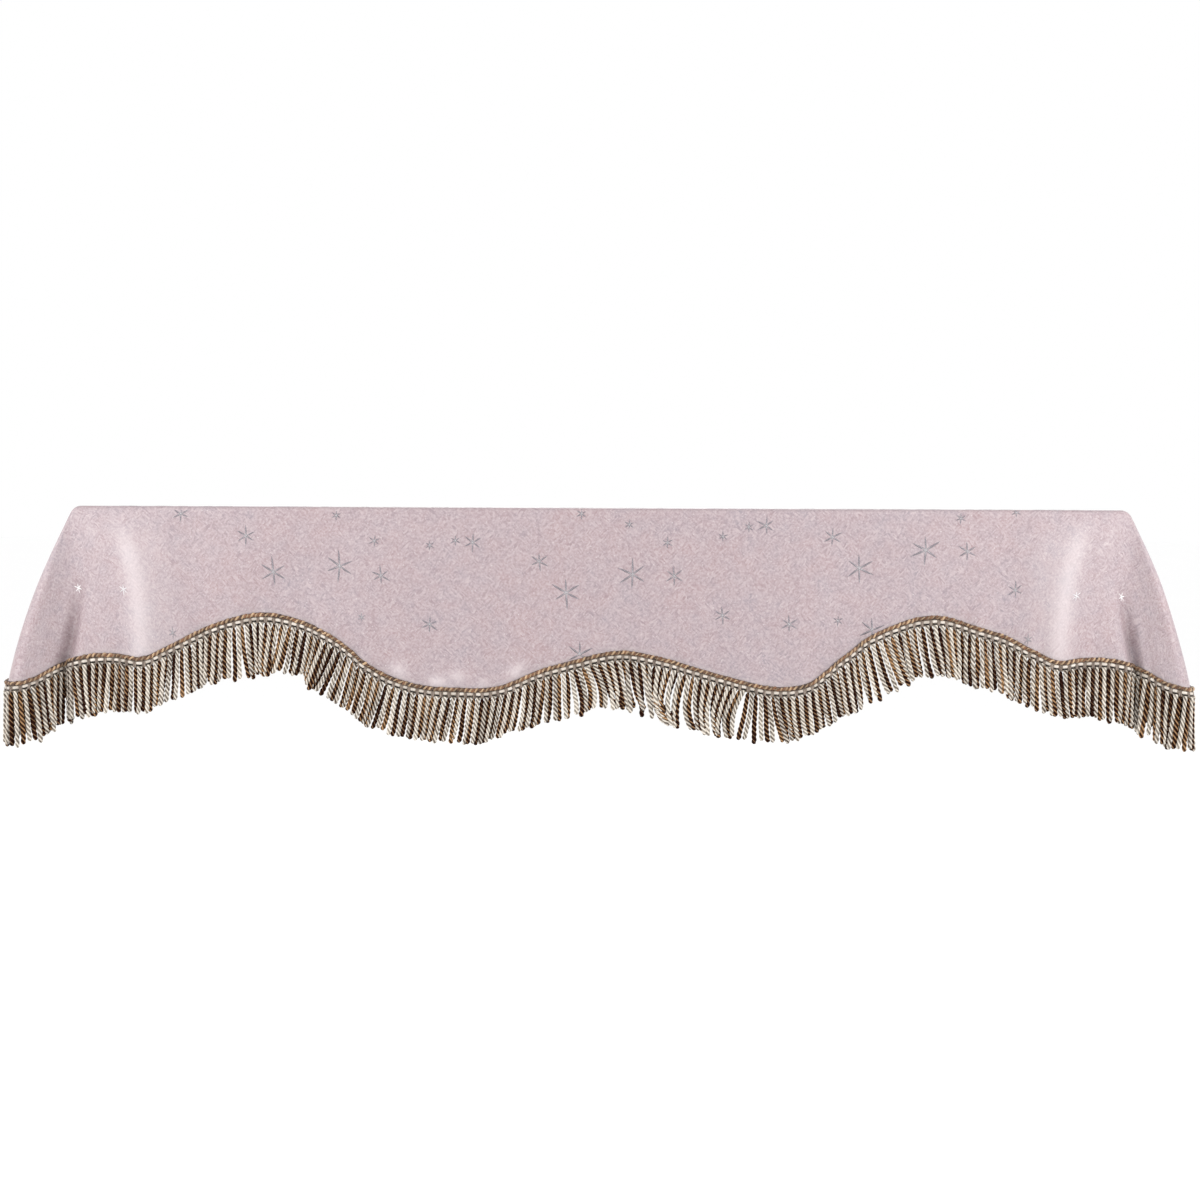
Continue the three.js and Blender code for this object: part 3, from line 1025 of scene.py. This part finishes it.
fringed_columns = slice(0, guide_columns[last_fringed] + 1)
heading_upper = outside[heading_row, fringed_columns]
heading_below = unit(outside[-1, fringed_columns] - heading_upper)
heading_out = unit(cloth_out[heading_row, fringed_columns] + cloth_out[-1, fringed_columns])
heading_middle = heading_upper + heading_below * HEADING_TALL / 2
heading_arc = np.concatenate([[0], np.cumsum(np.linalg.norm(np.diff(heading_middle, axis=0), axis=1))])
heading_length = heading_arc[-1]
rope_count = 2 * int(heading_length / ROPE_PITCH / 2)
rope_places = (np.arange(rope_count) + 0.5) * heading_length / rope_count  # the even ones are cream


def between(along, values):
    """Vectors along the heading, from those at its columns."""
    return np.stack([np.interp(along, heading_arc, values[:, k]) for k in range(3)], axis=-1)


def on_heading(along, down, out):
    """Points of the heading: along it, down from its upper edge, and out from the cloth."""
    along, down, out = np.broadcast_arrays(along, down, out)
    below = unit(between(along, heading_below))
    away = unit(between(along, heading_out))
    return between(along, heading_upper) + below * down[..., None] + away * out[..., None]


def trim_piece(name, points, faces, fibre, tone, material):
    """A piece of yarn, with its tone and its place on the yarn at each point."""
    return make_piece(
        name, points, faces, [material], numbers={"tone": tone}, vectors={"fibre": fibre}
    )


def heading_tape():
    """The woven tape that carries the cords and the ropes, rounded along its edges."""
    step = 3.0
    downs, outs, tones = zip(*TAPE_OUTLINE)
    along = np.linspace(0, heading_length, round(heading_length / step))
    sections = np.stack([on_heading(along, down, out) for down, out in zip(downs, outs)], axis=1)
    number = np.arange(len(along) * len(downs)).reshape(len(along), len(downs))
    after = np.roll(number, -1, axis=1)
    faces = np.stack([number[:-1], after[:-1], after[1:], number[1:]], axis=-1).reshape(-1, 4).tolist()
    faces += [number[0, ::-1].tolist(), number[-1].tolist()]
    fibre = np.zeros(sections.shape)
    fibre[..., 0] = along[:, None]
    fibre[..., 1] = downs
    tone = np.tile(tones, len(along))
    material = rayon_yarn("heading_tape_rayon", "#301d12", "#a69480", 0.6)
    return trim_piece("heading_tape", sections.reshape(-1, 3), faces, fibre.reshape(-1, 3), tone, material)


def edge_cords():
    """The lumpy upper edge: a brown and a tan cord twisted loosely round each other along the tape."""
    twist_pitch = 7.4
    steps_in_pitch = 10
    cord_radius = 1.55
    helix_radius = 1.65
    helix_flatness = 0.75
    middle_down = 3.7
    middle_out = 2.9
    side_shade = -0.9  # painted shade: the side that is turned to the tape is this much deeper
    turn_wander = 1.0  # radians
    down_wander = 0.7
    radius_wander = 0.5
    tone_wander = 0.45
    sides = 7
    uneven = np.random.default_rng(11)
    pitches = round(heading_length / twist_pitch)
    share = np.arange(pitches * steps_in_pitch + 1) / steps_in_pitch
    knots = np.arange(2 * pitches + 1) / 2

    def wander(size):
        return np.interp(share, knots, uneven.uniform(-size, size, len(knots)))

    along = share * heading_length / pitches
    turn = 2 * math.pi * share + wander(turn_wander)
    middle = middle_down + wander(down_wander)
    shade_share = (1 - np.cos(2 * math.pi * np.arange(sides) / sides)) / 2
    cords = []
    for phase, deep, pale, tone, name in (
        (0.0, "#1e0f07", "#7a5235", 0.65, "edge_cord_brown"),
        (math.pi, "#38271b", "#b59776", 0.72, "edge_cord_tan"),
    ):
        down = middle + helix_radius * np.cos(turn + phase)
        out = middle_out + helix_flatness * helix_radius * np.sin(turn + phase)
        path = on_heading(along, down, out)[None]
        sideways = between(along, heading_out)[None]
        radius = cord_radius + wander(radius_wander)
        points, faces, fibre = tubes(path, sideways, radius[:, None], sides)
        # painted shade on the side of each cord that is turned away from the front
        tones = (tone + wander(tone_wander))[:, None] + side_shade * shade_share
        material = rayon_yarn(f"{name}_rayon", deep, pale, 0.5)
        cords.append(trim_piece(name, points, faces, fibre, tones, material))
    return cords


BRAID_DOWN = 9.7  # middle of the row under the cords, down from the heading's upper edge


def braid_dashes(uneven):
    """The row under the cords: a cream satin dash over each cream rope."""
    length = 7.5
    length_shares = (0.85, 1.1)
    radius = 2.35
    flatness = 0.6
    out = 2.6
    most_lift = 0.3
    most_slant = 0.7
    tones = (0.4, 0.95)
    sides = 8
    steps = np.array([-0.5, -0.46, -0.36, -0.12, 0.12, 0.36, 0.46, 0.5])
    rounding = np.array([0.25, 0.62, 0.9, 1.0, 1.0, 0.9, 0.62, 0.25])
    middles = rope_places[::2]
    count = len(middles)
    lift = uneven.uniform(-most_lift, most_lift, count)[:, None]
    slant = uneven.uniform(-most_slant, most_slant, count)[:, None]
    along = middles[:, None] + steps * length * uneven.uniform(*length_shares, (count, 1))
    path = on_heading(along, BRAID_DOWN + lift + slant * steps, out)
    sideways = between(along, heading_below)
    points, faces, fibre = tubes(path, sideways, radius * rounding[:, None], sides, flatness)
    tone = np.repeat(uneven.uniform(*tones, count), len(steps) * sides)
    material = rayon_yarn("satin_cord_cream", "#8d8378", "#d0c7bd", 0.32)
    return trim_piece("braid_dashes", points, faces, fibre, tone, material)


def binding_turns(uneven):
    """Two turns of grey thread in each gap between the dashes, down over the roots of the ropes, where
    their grey also stands for the shade at the roots.
    """
    spacing = 1.05  # from the middle of the gap
    radius = 1.05
    # the lower reach lies over the ropes' roots, a grey that also stands for painted shade there
    reach_down = (-2.6, 6.5)  # from the middle of the row
    reach_out = (2.3, 2.9)
    tones = (0.2, 0.8)
    sides = 5
    rounding = np.array([0.6, 0.9, 1, 1, 1, 0.9, 0.6])
    steps = len(rounding)
    down = BRAID_DOWN + np.linspace(*reach_down, steps)
    out = np.linspace(*reach_out, steps)
    gaps = (rope_places[:-2:2] + rope_places[2::2]) / 2
    starts = np.concatenate([gaps - spacing, gaps + spacing])
    along = np.broadcast_to(starts[:, None], (len(starts), steps))
    path = on_heading(along, down, out)
    points, faces, fibre = tubes(path, between(along, heading_out), radius * rounding[:, None], sides)
    tone = np.repeat(uneven.uniform(*tones, len(starts)), steps * sides)
    material = rayon_yarn("binding_thread_grey", "#5b4d44", "#9b8d82", 0.5)
    return trim_piece("binding_turns", points, faces, fibre, tone, material)


def braid_row():
    """The dashes and then the binding turns, with one run of random numbers."""
    uneven = np.random.default_rng(12)
    return [braid_dashes(uneven), binding_turns(uneven)]


def stitch_line():
    """The dark sewing thread: a stitch under each dash."""
    length = 8.6
    radius = 1.05
    down = 13.2
    out = 2.5
    stitch_tone = 0.3
    sides = 6
    steps = np.array([-0.5, -0.45, -0.2, 0.2, 0.45, 0.5])
    rounding = np.array([0.3, 0.85, 1, 1, 0.85, 0.3])
    along = rope_places[::2, None] + steps * length
    path = on_heading(along, down, out)
    points, faces, fibre = tubes(path, between(along, heading_out), radius * rounding[:, None], sides)
    tone = np.full(len(points), stitch_tone)
    material = rayon_yarn("sewing_thread_black", "#120f0e", "#352d29", 0.5, 0.2)
    return trim_piece("stitch_line", points, faces, fibre, tone, material)


# The bullion ropes


def rope_steps():
    """Shares of a rope's length at which it has a section: even ones, then close ones at the round tip."""
    tip_share = TIP_LENGTH / ROPE_LENGTH
    tip = 1 - tip_share * np.array(TIP_SECTIONS)
    return np.concatenate([np.linspace(0, 1 - tip_share, ROPE_SECTIONS), tip])


def rope_lines(along, is_cream, uneven):
    """Middle lines of the ropes (rope, step, 3), with the ways along the hem and out at each root."""
    nearby = 3  # the hem's direction is taken over this distance to each side
    front_levels = (0.5, 0.9)  # X parts of the hem's direction between which it becomes the front
    sway_size = 3  # degrees
    sway_length = 14.3  # along the heading for each radian of the sway
    sway_spread = 0.8  # degrees, like the next two
    tangled_root_spread = 2.5
    tip_spread = 3
    tangled_tips = 3  # a tangled tip has this many times the spread more
    flares = (-0.03, 0.1)  # how far a tip stands out for each millimetre down
    length_spread = 0.03
    waves = 7  # radians of a rope's wave along its length
    wave_heights = (0.3, 1.3)
    count = len(along)
    root_point = on_heading(along, ROOT_DOWN, CREAM_ROOT_OUT if is_cream else BROWN_ROOT_OUT)
    ends = [on_heading(along + step, HEADING_TALL, 0) for step in (-nearby, nearby)]
    level = unit(unit(ends[1] - ends[0]) * [1, 1, 0])
    out = np.cross([0, 0, -1.0], level)
    across, root_lean, tip_lean, length_share = np.array(ROPE_LEANS, float).T
    on_front = smooth_step(*front_levels, level[:, 0])
    tangled = bell(root_point[:, 0] - TANGLE_MIDDLE, TANGLE_REACH) * on_front
    sway = sway_size * np.sin(along / sway_length) + uneven.normal(0, sway_spread, count)
    at_root = np.interp(root_point[:, 0], across, root_lean) * on_front + sway
    at_root += uneven.normal(0, tangled_root_spread, count) * tangled
    at_tip = np.interp(root_point[:, 0], across, tip_lean) * on_front + sway
    at_tip += uneven.normal(0, tip_spread, count) * (1 + tangled_tips * tangled)
    flare = uneven.uniform(*flares, count)
    down = np.array([0, 0, -1.0])
    first = unit(down + level * np.tan(np.radians(at_root))[:, None])
    last = unit(down + level * np.tan(np.radians(at_tip))[:, None] + out * flare[:, None])
    length = ROPE_LENGTH * np.interp(root_point[:, 0], across, length_share)
    length *= 1 + uneven.normal(0, length_spread, count)
    s = rope_steps()[:, None]
    turn = (last - first)[:, None] * s ** 3 / 3
    lines = root_point[:, None] + (first[:, None] * s + turn) * length[:, None, None]
    wave = np.sin(waves * s[:, 0] + uneven.uniform(0, 2 * math.pi, (count, 1))) * s[:, 0]
    lines += level[:, None] * (wave * uneven.uniform(*wave_heights, (count, 1)))[..., None]
    return lines, level, out


def bullion_ropes(name, along, is_cream, material, look, uneven):
    """Ropes of one colour as one piece. look holds their radius, their tone, how much that varies, how much
    painted shade darkens them in a groove, and the power that widens the groove's painted shade (less is
    wider).
    """
    rope_radius, rope_tone, tone_spread, groove_shade, groove_shade_power = look
    root_swelling = 0.2 if is_cream else -0.5
    root_size = 0.9  # share of the radius
    lower_swelling = 0.12
    tangle_swelling = 0.1
    radius_spread = 0.05
    blunt = 0.05  # share of the radius that is left at the very tip
    ply_spread = 0.12
    drift_turns = 4.5  # radians of the slow change of tone along a rope
    tip_tone = -0.2
    lines, level, out = rope_lines(along, is_cream, uneven)
    count = len(along)
    s = rope_steps()
    sides = PLIES * POINTS_IN_PLY
    turn = uneven.uniform(0, 2 * math.pi, count)[:, None] - 2 * math.pi * s * ROPE_LENGTH / PLY_TURN
    sideways = level[:, None] * np.cos(turn)[..., None] + out[:, None] * np.sin(turn)[..., None]
    groove = (1 - np.cos(2 * math.pi * np.arange(sides) / POINTS_IN_PLY)) / 2
    left_of_tip = np.clip((1 - s) * ROPE_LENGTH / TIP_LENGTH, 0, 1)
    tip_round = np.sqrt(1 - (1 - left_of_tip) ** 2) * (1 - blunt) + blunt
    swelling = root_size + root_swelling * (1 - smooth_step(0, 0.1, s))
    swelling += lower_swelling * smooth_step(0.1, 0.6, s)
    size = rope_radius * (1 + uneven.normal(0, radius_spread, (count, 1))) * tip_round * swelling
    size *= 1 + tangle_swelling * bell(lines[:, :1, 0] - TANGLE_MIDDLE, TANGLE_REACH)
    radius = size[..., None] * (1 - GROOVE_DEPTH * groove)
    points, faces, fibre = tubes(lines, sideways, radius, sides)
    ply_tone = np.repeat(uneven.uniform(-ply_spread, ply_spread, (count, PLIES)), POINTS_IN_PLY, axis=1)
    tone = rope_tone + uneven.uniform(-tone_spread, tone_spread, (count, 1)) + ply_tone
    drift = tone_spread * np.sin(drift_turns * s + uneven.uniform(0, 2 * math.pi, (count, 1))) / 2
    # painted shade in the grooves between the plies
    tone = tone[:, None] + drift[..., None] - groove_shade * groove ** groove_shade_power
    tone += tip_tone * (1 - tip_round)[:, None]
    return trim_piece(name, points, faces, fibre, tone, material)


def rope_fringe():
    """All ropes: cream and brown in turn, in a left and a right half to keep each piece small."""
    uneven = np.random.default_rng(21)
    number = np.arange(rope_count)
    along = rope_places + uneven.uniform(-0.5, 0.5, rope_count)
    half = number < rope_count / 2
    cream_rope = rayon_yarn("bullion_rayon_cream", "#382a20", "#dcd3c6", 0.42, 0.25)
    brown_rope = rayon_yarn("bullion_rayon_brown", "#1c0500", "#aa8560", 0.55, 0.05)
    pieces = []
    # the last two numbers of each look set the painted shade in the rope's grooves
    for colour, material, look, odd in (
        ("cream", cream_rope, (3.4, 1.0, 0.12, 0.95, 0.6), 0),
        ("brown", brown_rope, (3.7, 0.78, 0.35, 1.2, 0.35), 1),
    ):
        for side, chosen in (("left", half), ("right", ~half)):
            mine = along[chosen & (number % 2 == odd)]
            name = f"bullion_ropes_{colour}_{side}"
            pieces.append(bullion_ropes(name, mine, colour == "cream", material, look, uneven))
    return pieces


trim_pieces = [heading_tape()] + edge_cords() + braid_row() + [stitch_line()] + rope_fringe()
for piece in trim_pieces:
    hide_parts("fringe_trim")


# Stage


def paper_floor():
    """A wide round floor of white paper."""
    angle = 2 * math.pi * np.arange(FLOOR_SIDES) / FLOOR_SIDES
    ring = np.stack([np.cos(angle), np.sin(angle), 0 * angle], axis=-1)
    rings = np.array(FLOOR_RADII)[:, None, None] * ring + [0, 0, -FLOOR_DROP]
    number = np.arange(len(FLOOR_RADII) * FLOOR_SIDES).reshape(-1, FLOOR_SIDES)
    faces = grid_quads(number).tolist() + [number[0].tolist()]
    mesh = bpy.data.meshes.new("paper_floor")
    mesh.from_pydata((rings.reshape(-1, 3) * MM).tolist(), [], faces)
    mesh.materials.append(studio_paper())
    floor = bpy.data.objects.new("paper_floor", mesh)
    bpy.context.scene.collection.objects.link(floor)


def soft_light(name, place, size, power):
    """A large square light that faces the cover."""
    data = bpy.data.lights.new(name, "AREA")
    data.size = size * MM
    data.energy = power
    light = bpy.data.objects.new(name, data)
    light.location = Vector(place) * MM
    light.rotation_euler = (Vector(LIGHT_TARGET) - Vector(place)).to_track_quat("-Z", "Y").to_euler()
    light.visible_camera = False
    bpy.context.scene.collection.objects.link(light)


def pale_room():
    """Even white light from all sides."""
    world = bpy.data.worlds.new("pale_room")
    world.use_nodes = True
    background = world.node_tree.nodes["Background"]
    set_inputs(world.node_tree, background, {"Color": linear("#ffffff"), "Strength": 1.0})
    bpy.context.scene.world = world
    bpy.context.scene.view_settings.view_transform = "Standard"


paper_floor()
for light_row in SOFT_LIGHTS:
    soft_light(*light_row)
pale_room()
